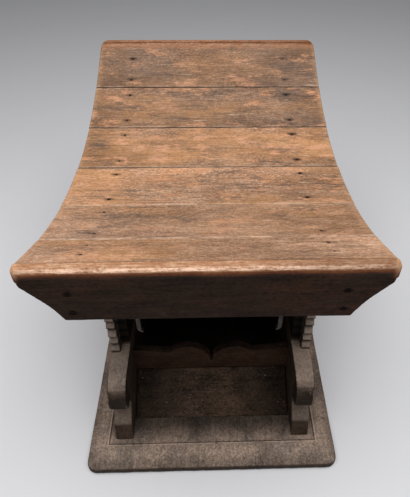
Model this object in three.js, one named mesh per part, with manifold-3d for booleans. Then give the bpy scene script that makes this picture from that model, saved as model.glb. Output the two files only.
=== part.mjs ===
// A plank-built wooden stool with a hollowed seat, in millimetres, +Z up.
// Six planks lie across two scroll-sawn side boards, an end board closes each end of the seat,
// and the side boards stand in the sunk field of a wide base board, tied by a cusped rail and
// a sloping board at either end. The origin is the middle of the base board's underside and
// -Y is the front. Front and rear are alike, and so are left and right.
import * as THREE from "three";
import { mergeVertices } from "three/addons/utils/BufferGeometryUtils.js";
import Module from "manifold-3d";

const wasm = await Module();
wasm.setup();

// Clearances
const FIT = 0.3;
const PLANK_JOINT = 0.8;

// How finely the curves are cut into facets
const CURVE_STEPS = 6;
const HOLLOW_STEPS = 30;
const COVE_STEPS = 8;
const CORNER_STEPS = 3;

// Seat
const SEAT_WIDTH = 324;
const SEAT_LENGTH = 494;
const RIM_HEIGHT = 343;
const HOLLOW_RADIUS = 504;
const PLANK_THICKNESS = 14;
const PLANK_ARRIS = 1.2;
const PLANK_END_ROUND = 3;
const PLANK_SHARES = [68, 85, 90, 89, 85, 85];

// End boards
const END_THICKNESS = 11;
const END_DEPTH = 67;
const END_NOSING = 9;
const END_RIM_FALL = 2;
const END_LOWER_ARRIS = 3;
const END_FOOT_WIDTH = 254;
const END_SHOULDER_DROP = 19;
const END_HOLLOW = 7;
const END_CORNER = 5;
const END_PLAN_CORNER = 7;

// Base board
const BASE_WIDTH = 310;
const BASE_LENGTH = 530;
const BASE_THICKNESS = 13;
const BASE_CORNER = 12;
const BASE_ARRIS = 3;
const FIELD_WIDTH = 262;
const FIELD_LENGTH = 467;
const FIELD_DEPTH = 1.5;

// Side boards: an outer layer with teeth and a plain inner layer, cut from one plank
const SIDE_SPACING = 224;
const SIDE_THICKNESS = 22;
const TOOTH_WIDTH = 10.5;
const FOOT_REACH = 227;
const FOOT_HEIGHT = 24;
const FOOT_LEAN = 8;
const THROAT_FOOT_REACH = 206;
const THROAT_FOOT_RISE = 16;
const THROAT_NOSE_REACH = 192;
const THROAT_NOSE_DROP = 4;
const NOSE_REACH = 221;
const NOSE_UNDERSIDE = 57;
const NOSE_UNDERSIDE_REACH = 212;
const NOSE_FRONT = 72;
const NOSE_BROW = 82;
const SHOULDER_HEIGHT = 99.5;
const SHOULDER_REACH = 194;
const SHOULDER_FALL = 2;
const COLUMN_REACH = 158;
const COLUMN_SETBACK = 8;
const TOOTH_COUNT = 5;
const TOOTH_PITCH = 14.5;
const TOOTH_DEPTH = 6;
const TOOTH_UNDERCUT = 2;
const COVE_LAP = 4;

// Rails and sloping boards
const RAIL_REACH = 145;
const RAIL_THICKNESS = 10;
const RAIL_HEIGHT = 77;
const RAIL_DIP = 6;
const RAIL_DIP_AT = 54;
const RAIL_LOBE = 5;
const RAIL_LOBE_AT = 32;
const RAIL_LOBE_LEAN = 0.4;
const RAIL_CUSP_DROP = 16;
const RAIL_SLIT_DEPTH = 9;
const RAIL_SLIT_WIDTH = 1.8;
const RAIL_HOUSING = 4;
const SLOPE_FOOT_REACH = 200;
const SLOPE_RISE = 38;
const SLOPE_THICKNESS = 13;

// Iron
const NAIL_HEAD = 4.6;
const NAIL_HEAD_HEIGHT = 1.4;
const NAIL_SHANK = 2.6;
const NAIL_POINT = 1.2;
const NAIL_SINK = 0.4;
const SEAT_NAIL_LENGTH = 34;
const SEAT_NAIL_INSET = 15;
const SEAT_NAIL_END_INSET = 27;
const END_NAIL_LENGTH = 26;
const END_NAIL_SPREAD = 238;
const END_NAIL_UNDER_PLANK = 3;
const END_NAIL_RISE = 11;
const BASE_NAIL_LENGTH = 38;
const BASE_NAIL_REACH = 90;
const HOOK_SPREAD = 136;
const HOOK_SETBACK = 8;
const HOOK_SIZE = 3.8;
const HOOK_TIP = 1.6;
const HOOK_DROP = 80;
const HOOK_BEND = 5;
const HOOK_TURN = 75;
const HOOK_ROOT = 9;

// Finishes
const seatWood = new THREE.MeshStandardMaterial({ color: 0x5e3a26, roughness: 0.55, metalness: 0 });
const darkWood = new THREE.MeshStandardMaterial({ color: 0x3a2a22, roughness: 0.65, metalness: 0 });
const dustyWood = new THREE.MeshStandardMaterial({ color: 0x6a5a4e, roughness: 0.8, metalness: 0 });
const iron = new THREE.MeshStandardMaterial({ color: 0x3b3632, roughness: 0.6, metalness: 0.7 });

// Places that follow from the sizes
const halfLength = SEAT_LENGTH / 2;
const hollowCentre = RIM_HEIGHT + Math.sqrt(HOLLOW_RADIUS ** 2 - halfLength ** 2);
const endBack = halfLength - END_THICKNESS;
const endBottom = RIM_HEIGHT - END_DEPTH;
const fieldTop = BASE_THICKNESS - FIELD_DEPTH;
const standing = fieldTop + FIT;
const sideCentre = SIDE_SPACING / 2;
const sideInner = sideCentre - SIDE_THICKNESS / 2;

const point = (x, y) => new THREE.Vector2(x, y);

// The height of a hollow of the given radius about the seat's centre, at a distance along Y.
const hollowHeight = (y, radius) => hollowCentre - Math.sqrt(radius ** 2 - y ** 2);

// The points of a hollow of the given radius from one angle to another, in the YZ plane.
function hollowArc(radius, from, to, steps) {
  const points = [];
  for (let i = 0; i <= steps; i++) {
    const angle = steps ? from + ((to - from) * i) / steps : from;
    points.push(point(radius * Math.sin(angle), hollowCentre - radius * Math.cos(angle)));
  }
  return points;
}

// A geometry as a solid, and a solid as a geometry.
function solidOf(geometry) {
  const bare = geometry.clone();
  bare.deleteAttribute("normal");
  bare.deleteAttribute("uv");
  const merged = mergeVertices(bare, 1e-4);
  return new wasm.Manifold(
    new wasm.Mesh({
      numProp: 3,
      vertProperties: new Float32Array(merged.attributes.position.array),
      triVerts: new Uint32Array(merged.index.array),
    }),
  );
}

function geometryOf(solid) {
  const mesh = solid.getMesh();
  const geometry = new THREE.BufferGeometry();
  geometry.setAttribute("position", new THREE.BufferAttribute(mesh.vertProperties, 3));
  geometry.setIndex(new THREE.BufferAttribute(mesh.triVerts, 1));
  geometry.computeVertexNormals();
  return geometry;
}

// A YZ outline sawn through a thickness along X, from x = start.
function sawnAlongX(outline, start, thickness) {
  const geometry = new THREE.ExtrudeGeometry(new THREE.Shape(outline), {
    depth: thickness,
    steps: 1,
    bevelEnabled: false,
  });
  const place = new THREE.Matrix4().makeBasis(
    new THREE.Vector3(0, 1, 0),
    new THREE.Vector3(0, 0, 1),
    new THREE.Vector3(1, 0, 0),
  );
  return geometry.applyMatrix4(place).translate(start, 0, 0);
}

// An XZ outline sawn through a thickness along Y, from y = start.
function sawnAlongY(outline, start, thickness) {
  const geometry = new THREE.ExtrudeGeometry(new THREE.Shape(outline), {
    depth: thickness,
    steps: 1,
    bevelEnabled: false,
  });
  return geometry.rotateX(Math.PI / 2).translate(0, start + thickness, 0);
}

// Rings of equally many points joined into one closed body. They run anticlockwise about the
// way the body travels, and the cap faces close its two ends.
function loft(rings, capFaces) {
  const count = rings[0].length;
  const faces = [];
  for (let ring = 0; ring < rings.length - 1; ring++) {
    for (let side = 0; side < count; side++) {
      const a = ring * count + side;
      const b = ring * count + ((side + 1) % count);
      faces.push(a, b, b + count, a, b + count, a + count);
    }
  }
  const last = (rings.length - 1) * count;
  for (const [a, b, c] of capFaces) {
    faces.push(a, c, b);
    faces.push(last + a, last + b, last + c);
  }
  const geometry = new THREE.BufferGeometry().setFromPoints(rings.flat());
  geometry.setIndex(faces);
  return geometry;
}

// A bar of square section. Each station is its { centre, half, u, v }.
function squareBar(stations) {
  const corners = [[-1, -1], [1, -1], [1, 1], [-1, 1]];
  const rings = stations.map(({ centre, half, u, v }) =>
    corners.map(([a, b]) => centre.clone().addScaledVector(u, a * half).addScaledVector(v, b * half)),
  );
  return loft(rings, [[0, 1, 2], [0, 2, 3]]);
}

// A cut nail driven along a direction from a point on the surface.
// With a clearance it is the hole for that nail, open above the surface.
function nailGeometry({ at, into, length }, clearance = 0) {
  const u = new THREE.Vector3(1, 0, 0);
  if (Math.abs(into.x) > 0.9) u.set(0, 1, 0);
  const v = new THREE.Vector3().crossVectors(into, u).normalize();
  const ring = (depth, size) => ({
    centre: at.clone().addScaledVector(into, depth),
    half: size / 2 + clearance,
    u,
    v,
  });
  const top = clearance > 0 ? -2 : NAIL_SINK;
  const under = NAIL_SINK + NAIL_HEAD_HEIGHT + clearance;
  return squareBar([
    ring(top, NAIL_HEAD),
    ring(under, NAIL_HEAD),
    ring(under, NAIL_SHANK),
    ring(length + clearance, NAIL_POINT),
  ]);
}

// Where each seat plank starts and ends, as angles about the hollow's centre.
function plankAngles() {
  const reach = Math.asin((endBack - FIT) / HOLLOW_RADIUS);
  const total = PLANK_SHARES.reduce((sum, share) => sum + share, 0);
  const joint = PLANK_JOINT / HOLLOW_RADIUS;
  const angles = [];
  let from = -reach;
  for (const share of PLANK_SHARES) {
    const to = from + (2 * reach * share) / total;
    angles.push([from === -reach ? from : from + joint / 2, to > reach - 1e-9 ? to : to - joint / 2]);
    from = to;
  }
  return angles;
}

// One plank's YZ outline: hollowed above and below, with its upper arrises eased, and worn
// down by some depth. An outermost plank is cut plumb where it meets the end board.
function plankOutline(from, to, index, worn) {
  const top = HOLLOW_RADIUS + worn;
  const bottom = HOLLOW_RADIUS + PLANK_THICKNESS;
  const cut = (angle, plumb, radius) =>
    plumb ? Math.asin((HOLLOW_RADIUS * Math.sin(angle)) / radius) : angle;
  const isFirst = index === 0;
  const isLast = index === PLANK_SHARES.length - 1;
  const side = top + PLANK_ARRIS;
  const ease = PLANK_ARRIS / top;
  return [
    ...hollowArc(bottom, cut(from, isFirst, bottom), cut(to, isLast, bottom), CURVE_STEPS),
    ...hollowArc(side, cut(to, isLast, side), cut(to, isLast, side), 0),
    ...hollowArc(top, cut(to, isLast, top) - ease, cut(from, isFirst, top) + ease, CURVE_STEPS),
    ...hollowArc(side, cut(from, isFirst, side), cut(from, isFirst, side), 0),
  ];
}

// One plank: its outline carried along X, with the upper arris of each end worn round.
function plankGeometry(from, to, index) {
  const half = SEAT_WIDTH / 2;
  const outline = plankOutline(from, to, index, 0);
  const wear = [0, 0.3, 1].map((t) => [t * PLANK_END_ROUND, (1 - t) ** 2 * PLANK_END_ROUND]);
  const stations = [
    ...wear.map(([inset, worn]) => [-half + inset, worn]),
    ...wear.map(([inset, worn]) => [half - inset, worn]).reverse(),
  ];
  const rings = stations.map(([x, worn]) =>
    plankOutline(from, to, index, worn).map((p) => new THREE.Vector3(x, p.x, p.y)),
  );
  return loft(rings, THREE.ShapeUtils.triangulateShape(outline, []));
}

// The front edge of a side board from its foot to the seat, in the YZ plane with y negative.
// The outer layer's column is toothed, and the inner layer's is plain and set back.
function frontEdge(toothed) {
  const height = (z) => standing + z;
  const edge = new THREE.Path();
  edge.moveTo(-FOOT_REACH, standing);
  edge.lineTo(-(FOOT_REACH - FOOT_LEAN), height(FOOT_HEIGHT));
  edge.bezierCurveTo(
    -THROAT_FOOT_REACH, height(FOOT_HEIGHT + THROAT_FOOT_RISE),
    -THROAT_NOSE_REACH, height(NOSE_UNDERSIDE - THROAT_NOSE_DROP),
    -NOSE_UNDERSIDE_REACH, height(NOSE_UNDERSIDE),
  );
  edge.quadraticCurveTo(-NOSE_REACH, height(NOSE_UNDERSIDE), -NOSE_REACH, height(NOSE_FRONT));
  edge.lineTo(-(NOSE_REACH - 1), height(NOSE_BROW));
  edge.quadraticCurveTo(
    -(NOSE_REACH - 3), height(SHOULDER_HEIGHT - SHOULDER_FALL),
    -SHOULDER_REACH, height(SHOULDER_HEIGHT),
  );
  const points = edge.getPoints(CURVE_STEPS);
  const columnTop = SHOULDER_HEIGHT + TOOTH_COUNT * TOOTH_PITCH;
  const column = toothed ? COLUMN_REACH : COLUMN_REACH - COLUMN_SETBACK;
  points.push(point(-column, height(SHOULDER_HEIGHT)));
  if (toothed) {
    for (let tooth = 0; tooth < TOOTH_COUNT; tooth++) {
      const foot = SHOULDER_HEIGHT + tooth * TOOTH_PITCH;
      points.push(point(-(column + TOOTH_DEPTH), height(foot + TOOTH_UNDERCUT)));
      points.push(point(-column, height(foot + TOOTH_PITCH)));
    }
  }
  const front = endBack - FIT;
  const coveTop = endBottom + COVE_LAP;
  for (let step = toothed ? 1 : 0; step <= COVE_STEPS; step++) {
    const turn = (Math.PI / 2) * (step / COVE_STEPS);
    const y = front - (front - column) * Math.cos(turn);
    const z = height(columnTop) + (coveTop - height(columnTop)) * Math.sin(turn);
    points.push(point(-y, z));
  }
  return points;
}

// One layer of a side board: the front edge, the hollow that carries the planks, and the rear edge.
function sideLayer(toothed, start, thickness) {
  const radius = HOLLOW_RADIUS + PLANK_THICKNESS + FIT;
  const reach = Math.asin((endBack - FIT) / radius);
  const front = frontEdge(toothed);
  const rear = front.map((p) => point(-p.x, p.y)).reverse();
  const outline = [...front, ...hollowArc(radius, -reach, reach, HOLLOW_STEPS), ...rear].reverse();
  return solidOf(sawnAlongX(outline, start, thickness));
}

function sideBoard(side, holes) {
  const inner = SIDE_THICKNESS - TOOTH_WIDTH;
  const outerStart = side > 0 ? sideInner + inner : -(sideInner + SIDE_THICKNESS);
  const innerStart = side > 0 ? sideInner : -(sideInner + inner);
  let solid = sideLayer(true, outerStart, TOOTH_WIDTH).add(sideLayer(false, innerStart, inner));
  const housingStart = side > 0 ? sideInner - 1 : -(sideInner + RAIL_HOUSING + FIT);
  for (const end of [-1, 1]) {
    solid = solid.subtract(solidOf(railHousing(end, housingStart)));
  }
  return holes.reduce((rest, hole) => rest.subtract(solidOf(nailGeometry(hole, FIT))), solid);
}

// The slot in a side board that takes a rail's end, open at the foot.
function railHousing(end, start) {
  const near = RAIL_REACH - RAIL_THICKNESS - FIT;
  const width = RAIL_THICKNESS + 2 * FIT;
  const depth = RAIL_HOUSING + FIT + 1;
  const low = standing - 1;
  const high = standing + RAIL_HEIGHT + FIT;
  const y = end > 0 ? near : -(near + width);
  const outline = [point(y, low), point(y + width, low), point(y + width, high), point(y, high)];
  return sawnAlongX(outline, start, depth);
}

// An end board: a moulded section run along X, then sawn to its hollow-ended outline.
function endBoard(end, holes) {
  const out = (y) => end * y;
  const seatEdge = hollowHeight(endBack, HOLLOW_RADIUS);
  const section = new THREE.Path();
  section.moveTo(endBack, endBottom);
  section.lineTo(halfLength - END_LOWER_ARRIS, endBottom);
  section.quadraticCurveTo(halfLength, endBottom, halfLength, endBottom + END_LOWER_ARRIS);
  section.lineTo(halfLength, RIM_HEIGHT - END_NOSING - END_RIM_FALL);
  section.bezierCurveTo(
    halfLength, RIM_HEIGHT - END_NOSING / 2,
    halfLength - END_NOSING / 3, RIM_HEIGHT - END_RIM_FALL / 2,
    halfLength - END_NOSING, RIM_HEIGHT - END_RIM_FALL,
  );
  section.lineTo(endBack + PLANK_ARRIS, seatEdge);
  section.lineTo(endBack, seatEdge - PLANK_ARRIS);
  let profile = section.getPoints(CURVE_STEPS).map((p) => point(out(p.x), p.y));
  if (end < 0) profile = profile.reverse();
  const bar = solidOf(sawnAlongX(profile, -SEAT_WIDTH / 2, SEAT_WIDTH));

  const half = SEAT_WIDTH / 2;
  const foot = END_FOOT_WIDTH / 2;
  const shoulder = RIM_HEIGHT - END_SHOULDER_DROP;
  const edge = new THREE.Path();
  edge.moveTo(foot, endBottom - 1);
  edge.lineTo(foot, endBottom);
  edge.quadraticCurveTo((foot + half) / 2 - END_HOLLOW, (endBottom + shoulder) / 2, half, shoulder);
  edge.lineTo(half, RIM_HEIGHT - END_CORNER);
  edge.quadraticCurveTo(half, RIM_HEIGHT, half - END_CORNER, RIM_HEIGHT);
  edge.lineTo(half - END_CORNER, RIM_HEIGHT + 1);
  const right = edge.getPoints(CURVE_STEPS);
  const left = right.map((p) => point(-p.x, p.y)).reverse();
  const start = end > 0 ? endBack - 1 : -(halfLength + 1);
  const blank = solidOf(sawnAlongY([...right, ...left], start, END_THICKNESS + 2));
  const board = bar.intersect(blank).intersect(solidOf(endPlan(end)));
  return holes.reduce((rest, hole) => rest.subtract(solidOf(nailGeometry(hole, FIT))), board);
}

// An end board seen from above: its two outer corners are worn round.
function endPlan(end) {
  const half = SEAT_WIDTH / 2;
  const turn = halfLength - END_PLAN_CORNER;
  const edge = new THREE.Path();
  edge.moveTo(half, endBack - 1);
  edge.lineTo(half, turn);
  edge.quadraticCurveTo(half, halfLength, half - END_PLAN_CORNER, halfLength);
  const right = edge.getPoints(CURVE_STEPS);
  const left = right.map((p) => point(-p.x, p.y)).reverse();
  let outline = [...right, ...left].map((p) => point(p.x, end * p.y));
  if (end < 0) outline = outline.reverse();
  const plan = new THREE.ExtrudeGeometry(new THREE.Shape(outline), {
    depth: END_DEPTH + 2,
    steps: 1,
    bevelEnabled: false,
  });
  return plan.translate(0, 0, endBottom - 1);
}

function baseBoard(holes) {
  const half = BASE_WIDTH / 2;
  const reach = BASE_LENGTH / 2;
  const r = BASE_CORNER;
  const outline = new THREE.Shape();
  outline.moveTo(-half + r, -reach);
  outline.lineTo(half - r, -reach);
  outline.absarc(half - r, -reach + r, r, -Math.PI / 2, 0, false);
  outline.lineTo(half, reach - r);
  outline.absarc(half - r, reach - r, r, 0, Math.PI / 2, false);
  outline.lineTo(-half + r, reach);
  outline.absarc(-half + r, reach - r, r, Math.PI / 2, Math.PI, false);
  outline.lineTo(-half, -reach + r);
  outline.absarc(-half + r, -reach + r, r, Math.PI, Math.PI * 1.5, false);
  const slab = new THREE.ExtrudeGeometry(outline, {
    depth: BASE_THICKNESS - 2 * BASE_ARRIS,
    bevelEnabled: true,
    bevelThickness: BASE_ARRIS,
    bevelSize: BASE_ARRIS,
    bevelOffset: -BASE_ARRIS,
    bevelSegments: CORNER_STEPS,
    curveSegments: CURVE_STEPS,
  }).translate(0, 0, BASE_ARRIS);
  const field = new THREE.BoxGeometry(FIELD_WIDTH, FIELD_LENGTH, 2 * FIELD_DEPTH);
  field.translate(0, 0, BASE_THICKNESS);
  const board = solidOf(slab).subtract(solidOf(field));
  return holes.reduce((rest, hole) => rest.subtract(solidOf(nailGeometry(hole, FIT))), board);
}

// A rail: its upper edge dips from each end, swells to a lobe and falls to a slit cusp.
function rail(end) {
  const half = sideInner + RAIL_HOUSING;
  const top = standing + RAIL_HEIGHT;
  const cusp = top - RAIL_CUSP_DROP;
  const slit = RAIL_SLIT_WIDTH / 2;
  const edge = new THREE.Path();
  edge.moveTo(slit, cusp - RAIL_SLIT_DEPTH);
  edge.lineTo(slit, cusp);
  edge.quadraticCurveTo(RAIL_LOBE_AT * RAIL_LOBE_LEAN, top + RAIL_LOBE, RAIL_LOBE_AT, top + RAIL_LOBE);
  edge.quadraticCurveTo((RAIL_LOBE_AT + RAIL_DIP_AT) / 2, top + RAIL_LOBE, RAIL_DIP_AT, top - RAIL_DIP);
  edge.quadraticCurveTo((RAIL_DIP_AT + sideInner) / 2, top - RAIL_DIP / 2, sideInner - FIT, top);
  const right = edge.getPoints(CURVE_STEPS);
  const corner = [point(half, top), point(half, standing)];
  const mirrored = [...right, ...corner].map((p) => point(-p.x, p.y)).reverse();
  const outline = [...right, ...corner, ...mirrored].reverse();
  const start = end > 0 ? RAIL_REACH - RAIL_THICKNESS : -RAIL_REACH;
  return sawnAlongY(outline, start, RAIL_THICKNESS);
}

// A sloping board: it stands on the base and leans on the rail, where it is cut plumb.
function slopeBoard(end) {
  const back = RAIL_REACH + FIT;
  const pitch = Math.atan2(SLOPE_RISE, SLOPE_FOOT_REACH - back);
  const heel = SLOPE_FOOT_REACH - SLOPE_THICKNESS / Math.sin(pitch);
  const underside = standing + SLOPE_RISE - SLOPE_THICKNESS / Math.cos(pitch);
  const profile = [
    point(SLOPE_FOOT_REACH, standing),
    point(back, standing + SLOPE_RISE),
    point(back, underside),
    point(heel, standing),
  ].map((p) => point(end * p.x, p.y));
  if (end < 0) profile.reverse();
  return sawnAlongX(profile, -(sideInner - FIT), 2 * (sideInner - FIT));
}

// An iron hook: a square bar rooted in the first plank's underside, its tapering tip bent inwards.
function hookGeometry(side, clearance = 0) {
  const y = -(endBack - HOOK_SETBACK);
  const under = hollowHeight(y, HOLLOW_RADIUS + PLANK_THICKNESS);
  const bendTop = under - HOOK_DROP + HOOK_BEND;
  const shank = HOOK_SIZE / 2 + clearance;
  const outer = [point(shank, under + HOOK_ROOT + clearance)];
  const inner = [point(-shank, under + HOOK_ROOT + clearance)];
  for (let step = 0; step <= CURVE_STEPS; step++) {
    const share = step / CURVE_STEPS;
    const turn = THREE.MathUtils.degToRad(HOOK_TURN) * share;
    const half = THREE.MathUtils.lerp(HOOK_SIZE, HOOK_TIP, share) / 2 + clearance;
    const outwards = point(Math.cos(turn), -Math.sin(turn));
    const centre = point(HOOK_BEND * (Math.cos(turn) - 1), bendTop - HOOK_BEND * Math.sin(turn));
    outer.push(centre.clone().addScaledVector(outwards, half));
    inner.push(centre.clone().addScaledVector(outwards, -half));
  }
  const outline = [...outer, ...inner.reverse()];
  return sawnAlongY(outline.map((p) => point(side * (HOOK_SPREAD / 2 + p.x), p.y)), y - shank, 2 * shank);
}

// Every nail: where it goes in, which way, how long it is, and which boards it passes through.
const nails = [];
const endNailTip = halfLength - END_NAIL_LENGTH;
const endNailHeights = [
  hollowHeight(endNailTip, HOLLOW_RADIUS + PLANK_THICKNESS) - END_NAIL_UNDER_PLANK,
  endBottom + END_NAIL_RISE,
];
const angles = plankAngles();
for (const [sideName, side] of [["left", -1], ["right", 1]]) {
  let count = 0;
  angles.forEach(([from, to], plank) => {
    const frontInset = plank === 0 ? SEAT_NAIL_END_INSET : SEAT_NAIL_INSET;
    const rearInset = plank === angles.length - 1 ? SEAT_NAIL_END_INSET : SEAT_NAIL_INSET;
    for (const angle of [from + frontInset / HOLLOW_RADIUS, to - rearInset / HOLLOW_RADIUS]) {
      count += 1;
      nails.push({
        name: `seat_nail_${sideName}_${count}`,
        boards: [`seat_plank_${plank + 1}`, `side_board_${sideName}`],
        at: new THREE.Vector3(
          side * sideCentre,
          HOLLOW_RADIUS * Math.sin(angle),
          hollowCentre - HOLLOW_RADIUS * Math.cos(angle),
        ),
        into: new THREE.Vector3(0, Math.sin(angle), -Math.cos(angle)),
        length: SEAT_NAIL_LENGTH,
      });
    }
  });
  for (const [endName, end] of [["front", -1], ["rear", 1]]) {
    endNailHeights.forEach((height, row) => {
      nails.push({
        name: `end_nail_${endName}_${sideName}_${row + 1}`,
        boards: [`${endName}_end_board`, `side_board_${sideName}`],
        at: new THREE.Vector3((side * END_NAIL_SPREAD) / 2, end * halfLength, height),
        into: new THREE.Vector3(0, -end, 0),
        length: END_NAIL_LENGTH,
      });
    });
    nails.push({
      name: `base_nail_${endName}_${sideName}`,
      boards: ["base_board", `side_board_${sideName}`],
      at: new THREE.Vector3(side * sideCentre, end * BASE_NAIL_REACH, 0),
      into: new THREE.Vector3(0, 0, 1),
      length: BASE_NAIL_LENGTH,
    });
  }
}
const nailsIn = (board) => nails.filter((nail) => nail.boards.includes(board));

const stool = new THREE.Group();
stool.name = "stool";

function addPiece(name, geometry, material) {
  const mesh = new THREE.Mesh(geometry, material);
  mesh.name = name;
  stool.add(mesh);
}

addPiece("base_board", geometryOf(baseBoard(nailsIn("base_board"))), dustyWood);
for (const [sideName, side] of [["left", -1], ["right", 1]]) {
  const name = `side_board_${sideName}`;
  addPiece(name, geometryOf(sideBoard(side, nailsIn(name))), dustyWood);
  addPiece(`iron_hook_${sideName}`, hookGeometry(side), iron);
}
for (const [endName, end] of [["front", -1], ["rear", 1]]) {
  const name = `${endName}_end_board`;
  addPiece(name, geometryOf(endBoard(end, nailsIn(name))), darkWood);
  addPiece(`${endName}_rail`, rail(end), darkWood);
  addPiece(`${endName}_slope_board`, slopeBoard(end), darkWood);
}
angles.forEach(([from, to], index) => {
  const name = `seat_plank_${index + 1}`;
  let solid = nailsIn(name).reduce(
    (rest, nail) => rest.subtract(solidOf(nailGeometry(nail, FIT))),
    solidOf(plankGeometry(from, to, index)),
  );
  if (index === 0) {
    for (const side of [-1, 1]) solid = solid.subtract(solidOf(hookGeometry(side, FIT)));
  }
  addPiece(name, geometryOf(solid), seatWood);
});
for (const nail of nails) addPiece(nail.name, nailGeometry(nail), iron);

export default stool;
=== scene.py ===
# %% [markdown]
# # An old plank stool
#
# This file is a lesson in Blender's Python. It dresses a stool whose boards, nails and hooks already
# exist as plain solids, and turns them into worn, dusty, waxed wood and rusted iron. Everything is
# in metres, with +Z up, the origin under the middle of the base board, and -Y towards the viewer.

import math
from types import SimpleNamespace

import bmesh
import bpy
import numpy as np
from mathutils import Matrix, Vector, noise


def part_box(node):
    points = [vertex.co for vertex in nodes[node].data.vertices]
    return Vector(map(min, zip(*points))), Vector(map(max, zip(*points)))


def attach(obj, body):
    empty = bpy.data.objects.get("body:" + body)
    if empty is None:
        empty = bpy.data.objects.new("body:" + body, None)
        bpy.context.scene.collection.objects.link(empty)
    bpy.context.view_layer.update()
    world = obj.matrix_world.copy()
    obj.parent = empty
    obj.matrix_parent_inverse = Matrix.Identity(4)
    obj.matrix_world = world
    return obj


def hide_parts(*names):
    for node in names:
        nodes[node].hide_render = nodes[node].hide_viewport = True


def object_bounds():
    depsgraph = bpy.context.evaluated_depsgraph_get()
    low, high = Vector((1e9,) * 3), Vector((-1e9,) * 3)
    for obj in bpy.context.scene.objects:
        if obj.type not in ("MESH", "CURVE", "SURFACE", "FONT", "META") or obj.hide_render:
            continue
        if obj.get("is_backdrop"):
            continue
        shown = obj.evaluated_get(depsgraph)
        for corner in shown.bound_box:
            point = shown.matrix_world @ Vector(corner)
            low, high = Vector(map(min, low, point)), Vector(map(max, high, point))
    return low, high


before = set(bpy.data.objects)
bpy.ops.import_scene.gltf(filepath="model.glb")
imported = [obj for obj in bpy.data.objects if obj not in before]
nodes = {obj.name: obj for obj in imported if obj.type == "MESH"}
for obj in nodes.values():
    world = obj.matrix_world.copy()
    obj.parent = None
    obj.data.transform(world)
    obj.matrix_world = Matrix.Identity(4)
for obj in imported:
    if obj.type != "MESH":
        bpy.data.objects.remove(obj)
solid_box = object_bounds()
print("solids:", len(nodes), "size:", [round(h - l, 3) for l, h in zip(*solid_box)])

# %% [markdown]
# The sizes that the boards are made from. The seat is hollowed to one round curve whose centre hangs
# over the middle of the stool, so a place on the seat is best given as an angle about that centre.

# %% Sizes of the stool
RIM_HEIGHT = 0.343
SEAT_LENGTH = 0.494
SEAT_WIDTH = 0.324
END_THICKNESS = 0.011
HOLLOW_RADIUS = 0.504
PLANK_THICKNESS = 0.014
PLANK_SHARES = [68, 85, 90, 89, 85, 85]
PLANK_JOINT = 0.0008
FIT = 0.0003
BASE_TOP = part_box("base_board")[1].z
BASE_HALF = (0.155, 0.265)
FIELD_HALF = (0.131, 0.2335)
FIELD_DEPTH = 0.0012
TEETH_START = BASE_TOP - FIELD_DEPTH + 0.0995
TEETH_PITCH = 0.0145
TEETH = 5

half_length = SEAT_LENGTH / 2
half_width = SEAT_WIDTH / 2
hollow_centre = RIM_HEIGHT + math.sqrt(HOLLOW_RADIUS ** 2 - half_length ** 2)
end_back = half_length - END_THICKNESS
print("the hollow's centre is", round(hollow_centre, 3), "m above the floor")

# %% [markdown]
# ## The camera
#
# The photograph looks steeply down on the stool from in front. A camera is a place, a direction and
# a lens. The direction is written as three turns: how far it looks down, how far it looks to the
# right, and how far it leans. A small sideways shift stands for the photograph having been cropped.

# %% Camera at the photograph's angle
PICTURE_HEIGHT = 497
SENSOR_MM = 36
FOCAL_PIXELS = 500
CENTRE_OFFSET_PIXELS = 23.6
CAMERA_PLACE = Vector((0.0047, -0.5318, 0.6277))
LOOK_DOWN = math.radians(42.97)
LOOK_RIGHT = math.radians(2.34)
LEAN = math.radians(0.85)
NEAREST, FURTHEST = 0.01, 60


def linked(name, data):
    """A new object that holds the data and stands in the scene."""
    made = bpy.data.objects.new(name, data)
    bpy.context.scene.collection.objects.link(made)
    return made


def camera_axes():
    forward = Vector((
        math.sin(LOOK_RIGHT) * math.cos(LOOK_DOWN),
        math.cos(LOOK_RIGHT) * math.cos(LOOK_DOWN),
        -math.sin(LOOK_DOWN),
    ))
    level = Vector((math.cos(LOOK_RIGHT), -math.sin(LOOK_RIGHT), 0))
    upright = level.cross(forward)
    right = math.cos(LEAN) * level + math.sin(LEAN) * upright
    up = -math.sin(LEAN) * level + math.cos(LEAN) * upright
    return right, up, forward


camera_data = bpy.data.cameras.new("camera")
camera_data.sensor_width = SENSOR_MM
camera_data.lens = FOCAL_PIXELS / PICTURE_HEIGHT * SENSOR_MM
camera_data.shift_x = -CENTRE_OFFSET_PIXELS / PICTURE_HEIGHT
camera_data.clip_start = NEAREST
camera_data.clip_end = FURTHEST
camera = linked("camera", camera_data)
right, up, forward = camera_axes()
turn = Matrix((right, up, -forward)).transposed()
camera.matrix_world = Matrix.Translation(CAMERA_PLACE) @ turn.to_4x4()
bpy.context.scene.camera = camera
print("lens", round(camera_data.lens, 1), "mm")

# %% [markdown]
# ## A small language for materials
#
# Blender draws a material as a web of nodes, which is hard to read once it is large. The class
# Number wraps one number of that web. Adding or multiplying two Numbers adds the Math node that does
# it, so a mask is written as a sum. Its rise turns a number into a soft mask from nought to one.


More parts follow.
